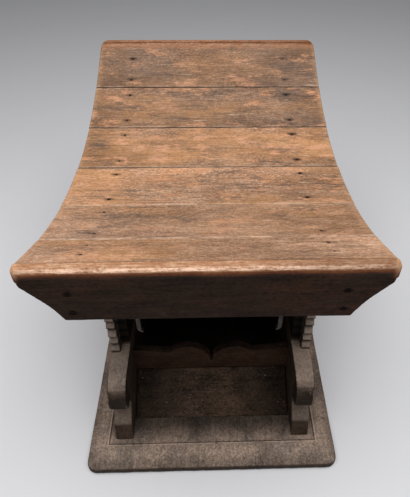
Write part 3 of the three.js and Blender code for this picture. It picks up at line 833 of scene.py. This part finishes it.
def dusty_finish(name, kind, seed, grain):
    """kind names the row of looks that the board follows."""
    looks = DUSTY_LOOKS[kind]
    even = looks["even"]
    f = Finish(name, DUSTY_GLOSS)
    p = dusty_patterns(f, grain, seed)
    cover = dust_cover(f, p, kind, looks)
    colour = f.mix(cover, bare_wood(f, p, grain, seed, looks), dust_colour(f, p, even))
    if kind == "rail":
        # Painted shade on the rails' tops.
        colour = f.shade(colour, p.facing.rise(0.3, 0.8) * RAIL_TOP_SHADE)
    if kind == "side":
        colour = side_shade(f, p, colour)
    edge = f.attribute("rubbed")
    rub = edge.rise(0.15, 0.7) * f.noise((70, 70, 70), (seed, 1, 2), 3).rise(0.35, 0.6)
    colour = f.mix(rub * 0.45, colour, looks["rubbed"])
    hollow = edge.rise(-0.05, -0.5)
    splits = cracks_of(f, grain, seed, 0.004)
    fine_dark = (splits * 0.5 + p.pores * 0.30) * (1 - even)
    colour = f.shade(colour, (fine_dark + hollow * 0.6) * 0.9)
    if kind == "slope":
        # Painted light in the middle of a sloping board, painted shade towards the side boards.
        out = (abs(f.axis("X")) + (p.cloud - 0.5) * 0.05).rise(*SLOPE_MIDDLE)
        colour = f.darken(colour, SLOPE_PAINTED_LIGHT - out * SLOPE_SHADE_FALL)
    crumbs = f.specks(CRUMB_SPACING, CRUMB_SIZE, (seed, 3, 1)) * p.facing.rise(0.3, 0.7)
    crumbs = crumbs * f.noise((30, 30, 30), (seed, 9, 1), 2).rise(0.42, 0.60)
    colour = f.mix(crumbs * 0.50, colour, CRUMB)
    if kind == "base":
        colour = base_shade(f, p, colour)
    height = p.fibre * 0.45 + p.streak * 0.25 + p.speckle * 0.25 - splits * 0.7
    height = height - p.pores * 0.2 + crumbs * 0.4
    return f.finish(colour, 0.64 + cover * 0.22, height, DUSTY_RELIEF)


# %% [markdown]
# ## Iron
#
# Most nails are brown with grime and rust. Those of the nearest planks are paler with wax, those in
# the end boards nearly black, and the two hooks under the seat a dull grey that the hand has kept
# from rusting through. A ramp over a fine noise gives the scale, and a second noise the rust on it.

# %% Iron
RUST = (0.085, 0.040, 0.022)
IRON_RELIEF = 0.0004
IRONS = {
    "nail_iron": {
        "seed": 1, "dark": (0.020, 0.012, 0.008), "light": (0.060, 0.035, 0.023), "rust": 0.6,
        "metal": 0.85, "gloss": 0.2,
    },
    "black_iron": {
        "seed": 2, "dark": (0.002, 0.0015, 0.001), "light": (0.008, 0.005, 0.004), "rust": 0.1,
        "metal": 0.0, "gloss": 0.02,
    },
    "waxed_iron": {
        "seed": 3, "dark": (0.085, 0.050, 0.032), "light": (0.190, 0.115, 0.070), "rust": 1.0,
        "metal": 0.85, "gloss": 0.2,
    },
    "hook_iron": {
        "seed": 5, "dark": (0.022, 0.019, 0.016), "light": (0.070, 0.063, 0.056), "rust": 0.35,
        "metal": 0.85, "gloss": 0.2,
    },
}


def iron_finish(name):
    looks = IRONS[name]
    seed = looks["seed"]
    metal = looks["metal"]
    f = Finish(name, looks["gloss"])
    scale = f.noise((260, 260, 260), (seed, 0, 0), 5, 0.7)
    colour = f.ramp(scale, [(0.36, looks["dark"]), (0.66, looks["light"])])
    rust = f.noise((420, 420, 420), (0, seed, 0), 4, 0.7).rise(0.5, 0.62) * looks["rust"]
    colour = f.mix(rust, colour, RUST)
    metallic = metal - rust * metal * 0.8 if metal else 0
    return f.finish(colour, 0.48 + rust * 0.35, scale + rust * 0.5, IRON_RELIEF, metallic)


# %% [markdown]
# ## Wearing a board down
#
# A board from the solids is merged into one skin and remeshed into small even faces, because wear
# needs points to move. Smoothing draws every edge in, more in some places than others, and a noise
# along the grain leaves the faces slightly ridged. How far each point was drawn in is kept as the
# attribute rubbed, above nought on outer edges and below it in corners, for the finishes to use.

# %% Tools for moving points
def baked(piece):
    """The piece with its modifiers made into mesh."""
    graph = bpy.context.evaluated_depsgraph_get()
    made = bpy.data.meshes.new_from_object(piece.evaluated_get(graph))
    old = piece.data
    piece.modifiers.clear()
    piece.data = made
    bpy.data.meshes.remove(old)
    return piece


def points_of(mesh, what="co"):
    flat = np.zeros(len(mesh.vertices) * 3, np.float32)
    mesh.vertices.foreach_get(what, flat)
    return flat.reshape(-1, 3)


def move_points(mesh, where):
    mesh.vertices.foreach_set("co", where.ravel())
    mesh.update()


def keep_rubbed(mesh, before, size):
    """Store how far each point was drawn in along its normal, as a share of size."""
    drawn = ((before - points_of(mesh)) * points_of(mesh, "normal")).sum(1) / size
    store = mesh.attributes.new("rubbed", "FLOAT", "POINT")
    store.data.foreach_set("value", np.clip(drawn, -1, 1).astype(np.float32))


def ridge(mesh, scale, depth, seed):
    """Move each point along its normal by a noise drawn out along the grain."""
    where = points_of(mesh)
    packed = where * np.array(scale, np.float32) + seed
    heights = np.array([noise.fractal(Vector(p), 0.8, 2.1, 3) for p in packed], np.float32)
    where += points_of(mesh, "normal") * (heights * depth)[:, None]
    move_points(mesh, where)


# %% [markdown]
# A board with fine detail needs small cells, which makes many faces, so a board that has too many is
# thinned at the end. A ridge may also lift a point off the plain solid's surface. Points that this
# would put outside the stool's own box are set back on it, so that its overall size stays true.

# %% Wear a board
MOST_TRIANGLES = 190000
LEAST_WEAR = 0.25
WEAR_PATCHES = 38
WEAR_CONTRAST = 2.4


def merged_copy(node):
    """A copy of a solid as one skin."""
    mesh = nodes[node].data.copy()
    skin = bmesh.new()
    skin.from_mesh(mesh)
    bmesh.ops.remove_doubles(skin, verts=skin.verts, dist=1e-5)
    skin.to_mesh(mesh)
    skin.free()
    mesh.materials.clear()
    return linked("worn_" + node, mesh)


def wear_share(place, seed):
    """How strongly a place is drawn in, in patches a few centimetres wide."""
    patch = abs(noise.noise(Vector(place) * WEAR_PATCHES + Vector((seed, 0, 0))))
    return LEAST_WEAR + (1 - LEAST_WEAR) * min(1, patch * WEAR_CONTRAST)


def draw_in(piece, shares, rounds):
    """Smooth the piece in rounds, each point by its own share."""
    group = piece.vertex_groups.new(name="wear")
    for index, share in enumerate(shares):
        group.add([index], share, "REPLACE")
    smooth = piece.modifiers.new("drawn in", "SMOOTH")
    smooth.factor = 0.5
    smooth.iterations = rounds
    smooth.vertex_group = group.name
    baked(piece)
    piece.vertex_groups.clear()


def dressed(piece, node):
    """Shade the piece smooth, keep it in the stool's box and let it stand for its solid."""
    for face in piece.data.polygons:
        face.use_smooth = True
    move_points(piece.data, np.clip(points_of(piece.data), *np.array(solid_box)))
    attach(piece, "root")
    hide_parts(node)
    print(piece.name, len(piece.data.vertices), "points")
    return piece


def worn_board(node, cell, rounds, grain, seed, depth=0.0003, care=None):
    """A worn copy of a solid, remeshed to the cell's size and smoothed in rounds.

    depth is the ridges' height, and care gives a place's own share of wear, from nought to one.
    """
    piece = merged_copy(node)
    remesh = piece.modifiers.new("even faces", "REMESH")
    remesh.mode = "VOXEL"
    remesh.voxel_size = cell
    baked(piece)
    before = points_of(piece.data)
    shares = [wear_share(place, seed) for place in before]
    if care:
        shares = [share * care(*place) for share, place in zip(shares, before)]
    draw_in(piece, shares, rounds)
    keep_rubbed(piece.data, before, cell)
    ridge(piece.data, drawn_out(grain, 12, 110), depth, seed)
    triangles = 2 * len(piece.data.polygons)
    if triangles > MOST_TRIANGLES:
        thinner = piece.modifiers.new("fewer faces", "DECIMATE")
        thinner.ratio = MOST_TRIANGLES / triangles
        baked(piece)
    return dressed(piece, node)


# %% [markdown]
# ## The seat planks
#
# Six planks of uneven width share the hollow, with a narrow gap between each two. Their edges are
# angles about the hollow's centre. A nail's place is read from its own solid, so that each dimple
# and each ring of dirt lies just where the nail is.

# %% Where the planks and the nails are
SEAT_HEAD_DEPTH = 0.004
END_HEAD_DEPTH = 0.0005


def plank_angles():
    """Where each plank starts and ends, as angles about the hollow's centre."""
    reach = math.asin((end_back - FIT) / HOLLOW_RADIUS)
    gap = PLANK_JOINT / HOLLOW_RADIUS / 2
    spans = []
    start = -reach
    for index, share in enumerate(PLANK_SHARES):
        stop = start + 2 * reach * share / sum(PLANK_SHARES)
        first = index == 0
        last = index == len(PLANK_SHARES) - 1
        spans.append((start + (0 if first else gap), stop - (0 if last else gap)))
        start = stop
    return spans


def nail_spots(names):
    """The middle of each nail's head, taken from its solid."""
    spots = []
    for name in names:
        where = np.array([v.co for v in nodes[name].data.vertices])
        up, out = where[:, 2], np.abs(where[:, 1])
        seat = name.startswith("seat")
        head = up > up.max() - SEAT_HEAD_DEPTH if seat else out > out.max() - END_HEAD_DEPTH
        spots.append(Vector(where[head].mean(0)))
    return spots


# %% [markdown]
# Each plank starts as a cube, because a cube's grid of cuts stays even. Its two long arrises get a
# small bevel and its ends a larger one, and then it is cut into a fine grid.

# %% Make a flat plank
PLANK_ARRIS = 0.0010
PLANK_END_ROUND = 0.0028
GRID = 0.0021


def bevel_edges(body, chosen, offset, segments):
    edges = [e for e in body.edges if chosen(e.verts[0].co, e.verts[1].co)]
    bmesh.ops.bevel(
        body, geom=edges, offset=offset, offset_type="OFFSET", segments=segments, profile=0.5,
        affect="EDGES", clamp_overlap=True, material=-1,
    )


def cut_long_edges(body, axis, step):
    """Cut every edge that runs along one axis into pieces about as long as step."""
    groups = {}
    for edge in body.edges:
        run = edge.verts[1].co - edge.verts[0].co
        if run.length > 1.5 * step and abs(run[axis]) > 0.999 * run.length:
            groups.setdefault(round(run.length / step), []).append(edge)
    for cuts, edges in groups.items():
        bmesh.ops.subdivide_edges(body, edges=edges, cuts=cuts - 1, use_grid_fill=True)


def long_arris(a, b):
    return abs(a.x - b.x) > 0.1 and a.z > -0.001


def end_arris(a, b):
    return abs(a.x - b.x) < 1e-6 and min(a.z, b.z) > -0.002


def flat_plank(width):
    """A plank lying flat: X along it, Y across, its upper face at Z = 0."""
    plank = bmesh.new()
    bmesh.ops.create_cube(plank, size=1)
    bmesh.ops.scale(plank, vec=(SEAT_WIDTH, width, PLANK_THICKNESS), verts=plank.verts)
    bmesh.ops.translate(plank, vec=(0, 0, -PLANK_THICKNESS / 2), verts=plank.verts)
    bevel_edges(plank, long_arris, PLANK_ARRIS, 2)
    bevel_edges(plank, end_arris, PLANK_END_ROUND, 4)
    cut_long_edges(plank, 0, GRID)
    cut_long_edges(plank, 1, GRID)
    cut_long_edges(plank, 2, GRID * 1.5)
    return plank


# %% [markdown]
# The flat grid is then bent on to the hollow: across the plank becomes an angle, and thickness
# becomes radius. The outermost faces stay plumb, to meet the end boards. On the way the upper face
# sags a little in long waves, and small chips are lost along its edges.

# %% Bend it on to the hollow
CHIP_DEPTH = 0.0007
CHIP_REACH = 0.0022
SAG_DEPTH = 0.00022


def bent(across, height, span, width, index):
    """Where a point of the flat plank goes: its Y and Z on the hollow."""
    radius = HOLLOW_RADIUS - height
    start, stop = span
    if index == 0:
        start = math.asin(HOLLOW_RADIUS * math.sin(start) / radius)
    if index == len(PLANK_SHARES) - 1:
        stop = math.asin(HOLLOW_RADIUS * math.sin(stop) / radius)
    angle = start + (stop - start) * (across / width + 0.5)
    return radius * math.sin(angle), hollow_centre - radius * math.cos(angle)


def unevenness(x, across, height, width, seed):
    """How far a point of the plank is raised by the sag's waves and lowered by chips."""
    chip = noise.noise(Vector((x * 60 + seed, across * 8, 3)))
    chip += 0.5 * noise.noise(Vector((x * 210, seed, 0)))
    near = max(0, 1 - (width / 2 - abs(across)) / CHIP_REACH) * max(0, 1 + height / 0.003)
    sag = SAG_DEPTH * noise.fractal(Vector((x * 9, across * 60 + seed, 0)), 0.9, 2, 2)
    return sag * max(0, 1 + height / 0.005) - CHIP_DEPTH * near * max(0, chip)


# %% [markdown]
# Round each nail the wood was punched down by the hammer. The grid is refined there first, because
# a dimple a few millimetres wide needs more points than the rest of the plank.

# %% Punch the nails' dimples
NAIL_DIMPLE = 0.0006
DIMPLE_REACH = 0.0042
REFINED_REACH = DIMPLE_REACH * 1.3
SHORTEST_EDGE = 0.0007
REFINEMENTS = 2


def refined(edge, spots):
    near = min((edge.verts[0].co - spot).length for spot in spots) < REFINED_REACH
    return near and edge.calc_length() > SHORTEST_EDGE


def punch(plank, spots):
    """Refine the grid round each nail and press it down, so that the head lies in a dimple."""
    for _ in range(REFINEMENTS):
        close = [edge for edge in plank.edges if refined(edge, spots)]
        bmesh.ops.subdivide_edges(plank, edges=close, cuts=1, use_grid_fill=True)
    for vert in plank.verts:
        for spot in spots:
            away = (vert.co - spot).length
            if away < DIMPLE_REACH:
                depth = NAIL_DIMPLE * min(1, 1.6 * (1 - away / DIMPLE_REACH))
                vert.co.z -= depth * (1 + 0.35 * noise.noise(vert.co * 400))


# %% [markdown]
# The seat's four corners are worn round in plan and fall away in height. The end boards use the same
# function, so that plank and board stay flush. Attributes on the planks say how near a point is to a
# joint: rubbed for the polish worn pale at the edge, with a painted highlight, gap for the dark line,
# which at the front edge is also a painted shadow of the end board's lip, and packed for old wax and
# dust.
# Each joint has its own numbers, from the front edge over the five joints to the rear edge, because
# in the photograph no two of them look the same.

# %% Corners and joints
CORNER_ROUND = {"front": 0.006, "rear": 0.012}
CORNER_FALL = {"front": 0.004, "rear": 0.006}
FALL_FOOT, FALL_RISE = 0.034, 0.026
FALL_START, FALL_RUN = 0.198, 0.045
# The front edge's mark is dark and reaches furthest: the joint and a painted shadow of the end
# board's lip.
JOINT_DARKNESS = [0.95, 0.30, 0.35, 1.0, 1.0, 1.0, 0.10]
JOINT_REACH = [0.0060, 0.0009, 0.0009, 0.0013, 0.0013, 0.0014, 0.0009]
JOINT_PACKING = [0.0, 0.85, 0.60, 0.22, 0.12, 0.12, 0.0]
RUBBED_REACH = 0.0040
PACKED_REACH = 0.0014


def round_corners(mesh, end):
    """Wear two of the seat's corners round, both in plan and in height."""
    where = points_of(mesh)
    radius = CORNER_ROUND[end]
    over = np.abs(where[:, 0]) - (half_width - radius)
    out = np.abs(where[:, 1]) - (half_length - radius)
    here = (where[:, 1] < 0) == (end == "front")
    share = np.clip(over / radius, 0, 1)
    low = np.clip((where[:, 2] - RIM_HEIGHT + FALL_FOOT) / FALL_RISE, 0, 1)
    near = np.clip((np.abs(where[:, 1]) - FALL_START) / FALL_RUN, 0, 1)
    fall = CORNER_FALL[end] * (1 - np.sqrt(1 - share ** 2)) * low * near * near * here
    corner = (over > 0) & (out > 0) & here
    reach = np.hypot(over[corner], out[corner])
    kept = np.maximum(over[corner], out[corner]) / np.maximum(reach, 1e-9)
    where[corner, 0] -= np.sign(where[corner, 0]) * over[corner] * (1 - kept)
    where[corner, 1] -= np.sign(where[corner, 1]) * out[corner] * (1 - kept)
    where[:, 2] -= fall
    move_points(mesh, where)
    print(mesh.name, end, "corners fall by up to", round(float(fall.max()) * 1000, 1), "mm")


def mark_joints(mesh, index, span):
    """Store how near each point is to a joint, and how dark or packed that joint is."""
    marks = {"rubbed": [], "gap": [], "packed": []}
    for vert in mesh.vertices:
        angle = math.atan2(vert.co.y, hollow_centre - vert.co.z)
        front = max(0, angle - span[0]) * HOLLOW_RADIUS
        rear = max(0, span[1] - angle) * HOLLOW_RADIUS
        joint = index if front < rear else index + 1
        away = min(front, rear)
        marks["rubbed"].append(max(0, 1 - away / RUBBED_REACH))
        marks["gap"].append(max(0, 1 - away / JOINT_REACH[joint]) * JOINT_DARKNESS[joint])
        marks["packed"].append(max(0, 1 - away / PACKED_REACH) * JOINT_PACKING[joint])
    for name, values in marks.items():
        mesh.attributes.new(name, "FLOAT", "POINT").data.foreach_set("value", values)
    print(mesh.name, "joints marked on", sum(v > 0 for v in marks["gap"]), "points")


# %% [markdown]
# Now a plank can be made in full. Refining the grid leaves a few doubled points and faces with many
# corners, so the points are merged and those faces cut into triangles before the mesh is kept. Some
# planks are trimmed a hair shorter than others, because the seat's edge isn't quite straight.

# %% Make the six planks
PLANK_TRIM = [0.0, 0.0005, 0.0, 0.0007, 0.0002, 0.0004]
DOUBLED = 4e-6


def cleaned(plank, name):
    """The plank's mesh with doubled points merged and no face of more than four corners."""
    mesh = bpy.data.meshes.new(name)
    bmesh.ops.remove_doubles(plank, verts=plank.verts, dist=DOUBLED)
    many_sided = [face for face in plank.faces if len(face.verts) > 4]
    bmesh.ops.triangulate(plank, faces=many_sided, quad_method="BEAUTY", ngon_method="BEAUTY")
    bmesh.ops.recalc_face_normals(plank, faces=plank.faces)
    plank.to_mesh(mesh)
    plank.free()
    return mesh


def seat_plank(index, span):
    width = HOLLOW_RADIUS * (span[1] - span[0])
    plank = flat_plank(width)
    seed = 11.3 * (index + 1)
    for vert in plank.verts:
        x, across, height = vert.co
        height += unevenness(x, across, height, width, seed)
        y, z = bent(across, height, span, width, index)
        vert.co = (x * (1 - PLANK_TRIM[index] / half_width), y, z)
    number = index + 1
    rows = (2 * number - 1, 2 * number)
    spots = nail_spots([f"seat_nail_{side}_{row}" for side in ("left", "right") for row in rows])
    punch(plank, spots)
    mesh = cleaned(plank, f"worn_seat_plank_{number}")
    piece = linked(mesh.name, mesh)
    mark_joints(mesh, index, span)
    for end in CORNER_ROUND:
        round_corners(mesh, end)
    return dressed(piece, f"seat_plank_{number}"), spots


planks = [seat_plank(index, span) for index, span in enumerate(plank_angles())]

# %% [markdown]
# Each plank was cut from different stuff and has had its own life, so each gets a row of looks. The
# rows were found by rendering the seat again and again and looking at it beside the photograph. The
# last two planks are darker, as painted shade towards the far side of the hollow, and only the last
# has the red rim.

# %% Dress the planks
LOOK_NAMES = ("tone", "slant", "orange", "stain", "grey", "rim", "nails")
PLANK_LOOKS = [
    (1.10, -0.10, 0.55, 0.50, 0.35, 0.0, 0.35),
    (1.01, 0.32, 0.45, 0.80, 0.50, 0.0, 0.40),
    (1.26, 0.22, 0.80, 0.65, 0.30, 0.0, 0.80),
    (0.97, -0.08, 1.00, 0.70, 0.25, 0.0, 1.00),
    # The last two rows' lower tone is painted shade.
    (0.665, -0.04, 0.90, 0.75, 0.50, 0.0, 0.95),
    (0.635, -0.14, 0.60, 0.60, 0.65, 1.0, 0.90),
]
for index, ((piece, spots), row) in enumerate(zip(planks, PLANK_LOOKS)):
    looks = dict(zip(LOOK_NAMES, row))
    finish = seat_finish(f"seat_wood_{index + 1}", 3.1 + 7.7 * index, spots, looks)
    piece.data.materials.append(finish)

# %% [markdown]
# ## The boards that hold the seat up
#
# The end boards, side boards, rails, sloping boards and base are worn copies of their solids. The
# cell is small where the shape is fine, as on the side boards' teeth, and larger on the wide base.
# The end boards come first. Their upper tips are also worn round as seen from in front.

# %% End boards in place
TOP_WEAR = {"front": 1.0, "rear": 0.35}
TIP_ROUND = 0.006


def round_tips(mesh):
    """Wear the two upper corners of an end board round as seen from in front."""
    where = points_of(mesh)
    over = np.abs(where[:, 0]) - (half_width - TIP_ROUND)
    up = where[:, 2] - (where[:, 2].max() - TIP_ROUND)
    corner = (over > 0) & (up > 0)
    drawn = 1 - np.maximum(over[corner], up[corner]) / np.hypot(over[corner], up[corner])
    where[corner, 0] -= np.sign(where[corner, 0]) * over[corner] * drawn
    where[corner, 2] -= up[corner] * drawn
    move_points(mesh, where)


for seed, end in ((2.0, "front"), (9.0, "rear")):
    board = worn_board(
        f"{end}_end_board", cell=0.0011, rounds=12, grain="X", seed=seed, depth=0.00015,
    )
    round_tips(board.data)
    round_corners(board.data, end)
    names = [f"end_nail_{end}_{side}_{row}" for side in ("left", "right") for row in (1, 2)]
    board.data.materials.append(
        end_finish(f"end_wood_{end}", seed, nail_spots(names), TOP_WEAR[end])
    )

# %% [markdown]
# The side boards' noses are worn very round, and their tops fall away to the front. The teeth are
# out of a foot's reach and keep their saw-cut edges, so a care function says how much wear a place
# gets by where it is.

# %% Side boards in place
NOSE_FALL = 0.0055
NOSE_START, NOSE_RUN = 0.188, 0.030
NOSE_LOW, NOSE_RISE, NOSE_TOP = 0.080, 0.028, 0.1125
NOSE_BACK, NOSE_BOTTOM, SHOULDER_HEIGHT = 0.185, 0.045, 0.104
TEETH_WEAR, NOSE_WEAR, FOOT_WEAR = 0.10, 0.9, 0.35


def bow_noses(mesh):
    """Let the top of each nose fall away towards its front, as years of feet have left it."""
    where = points_of(mesh)
    out = np.clip((np.abs(where[:, 1]) - NOSE_START) / NOSE_RUN, 0, 1)
    low = np.clip((where[:, 2] - NOSE_LOW) / NOSE_RISE, 0, 1) * (where[:, 2] < NOSE_TOP)
    where[:, 2] -= NOSE_FALL * out * out * low
    move_points(mesh, where)


def side_care(x, y, z):
    """Noses are worn very round, feet less, and the teeth keep their saw-cut edges."""
    if z > SHOULDER_HEIGHT:
        return TEETH_WEAR
    return NOSE_WEAR if abs(y) > NOSE_BACK and z > NOSE_BOTTOM else FOOT_WEAR


for seed, side in ((4.0, "left"), (6.5, "right")):
    board = worn_board(
        f"side_board_{side}", cell=0.00125, rounds=26, grain="Y", seed=seed, depth=0.0002,
        care=side_care,
    )
    bow_noses(board.data)
    board.data.materials.append(dusty_finish(f"side_wood_{side}", "side", seed, "Y"))

# %% [markdown]
# A rail's two lobes meet in a narrow slit. Smoothing all but closes it, so its two sides are pushed
# apart again. The sloping boards outside the rails are plain and only lightly worn.

# %% Rails and sloping boards in place
SLIT_FOOT = 0.0600
SLIT_RISE = 0.006
SLIT_OPENING = 0.0010
SLIT_REACH = 0.006


def open_slit(mesh):
    """Push the wood apart on both sides of the slit, most beside it and less further off."""
    where = points_of(mesh)
    beside = np.clip(1 - np.abs(where[:, 0]) / SLIT_REACH, 0, 1)
    level = np.clip((where[:, 2] - SLIT_FOOT) / SLIT_RISE, 0, 1)
    where[:, 0] += np.sign(where[:, 0]) * SLIT_OPENING * beside * level
    move_points(mesh, where)


for seed, end in ((1.0, "front"), (8.0, "rear")):
    board = worn_board(f"{end}_rail", cell=0.00100, rounds=5, grain="X", seed=seed, depth=0.0002)
    open_slit(board.data)
    board.data.materials.append(dusty_finish(f"rail_wood_{end}", "rail", seed, "X"))
    board = worn_board(f"{end}_slope_board", cell=0.0016, rounds=4, grain="X", seed=seed + 3)
    board.data.materials.append(dusty_finish(f"slope_wood_{end}", "slope", seed + 3, "X"))

# %% [markdown]
# The base is one wide board that everything stands on. Its edges and round corners are lightly
# worn, and it has to stand on the floor, so the height of its lowest point is printed.

# %% Base board in place
BASE_SEED = 5.0

board = worn_board("base_board", cell=0.0020, rounds=5, grain="Y", seed=BASE_SEED)
print("the base stands on the floor at", round(float(points_of(board.data)[:, 2].min()), 4))
board.data.materials.append(dusty_finish("base_wood", "base", BASE_SEED, "Y"))

# %% [markdown]
# ## Nails and hooks
#
# The nails' heads and the bent hooks are already the right shape as solids, so they only get iron.
# A nail's name says where it is, and so which iron it is made of.

# %% Nails and hooks in place
WAXED_NAILS = 4

irons = {name: iron_finish(name) for name in IRONS}


def iron_for(name):
    """The kind of iron that a nail or a hook of this name is made of."""
    if "hook" in name:
        return "hook_iron"
    if "end_nail" in name:
        return "black_iron"
    if "seat_nail" in name and int(name.split("_")[-1]) <= WAXED_NAILS:
        return "waxed_iron"
    return "nail_iron"


for name, node in nodes.items():
    if "nail" in name or "hook" in name:
        node.data.materials.clear()
        node.data.materials.append(irons[iron_for(name)])
print("dressed", sum("nail" in name for name in nodes), "nails")

# %% [markdown]
# ## Floor and light
#
# The floor is a plain pale sheet, large enough to fill the photograph's view, with the faintest
# cloud in it so that it doesn't look like a flat fill.

# %% Floor
FLOOR_COLOUR = (0.67, 0.67, 0.695)
FLOOR_PALE = (0.70, 0.70, 0.72)
FLOOR_SIZE = 14
FLOOR_ROUGHNESS = 0.75
FLOOR_RELIEF = 0.0002

floor_mesh = bpy.data.meshes.new("floor")
sheet = bmesh.new()
bmesh.ops.create_grid(sheet, x_segments=1, y_segments=1, size=FLOOR_SIZE / 2)
sheet.to_mesh(floor_mesh)
sheet.free()
floor = linked("floor", floor_mesh)
paper = Finish("paper")
cloud = paper.noise((6, 6, 6), detail=3)
pale = paper.mix(cloud, FLOOR_COLOUR, FLOOR_PALE)
floor_mesh.materials.append(paper.finish(pale, FLOOR_ROUGHNESS, cloud, FLOOR_RELIEF))
floor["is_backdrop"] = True

# %% [markdown]
# One large soft lamp hangs high over the stool and a little in front of it, and a weak even world
# fills the shadows. Together they light the seat and the floor beside the stool to about their own
# colours, so the colours above are the ones that are seen.

# %% Lamp and world
LAMP_PLACE = (0.0, -0.50, 1.60)
LAMP_SIZE = (1.9, 1.5)
LAMP_WATTS = 35
WORLD_STRENGTH = 0.17
WORLD_COLOUR = (1.0, 1.0, 1.0)

lamp_data = bpy.data.lights.new("softbox", "AREA")
lamp_data.shape = "RECTANGLE"
lamp_data.size, lamp_data.size_y = LAMP_SIZE
lamp_data.energy = LAMP_WATTS
lamp = linked("softbox", lamp_data)
lamp.location = LAMP_PLACE

world = bpy.data.worlds.new("studio")
bpy.context.scene.world = world
world.use_nodes = True
world.node_tree.nodes.clear()
studio = Web(world.node_tree)
fill = studio.node(
    "ShaderNodeBackground", None, {"Color": WORLD_COLOUR, "Strength": WORLD_STRENGTH},
)
studio.node("ShaderNodeOutputWorld", None, {"Surface": fill.outputs[0]})
print("lamp", LAMP_WATTS, "W, world", WORLD_STRENGTH)

bpy.context.scene.view_settings.view_transform = "Standard"

# %% [markdown]
# ## The two boxes
#
# Wear takes wood away and nothing is let out of the solids' box, so the two boxes should agree.
# Both are printed.

# %% Print both boxes
seen_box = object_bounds()
for title, box in (("solid", solid_box), ("seen", seen_box)):
    print(title, [[round(part, 4) for part in corner] for corner in box])
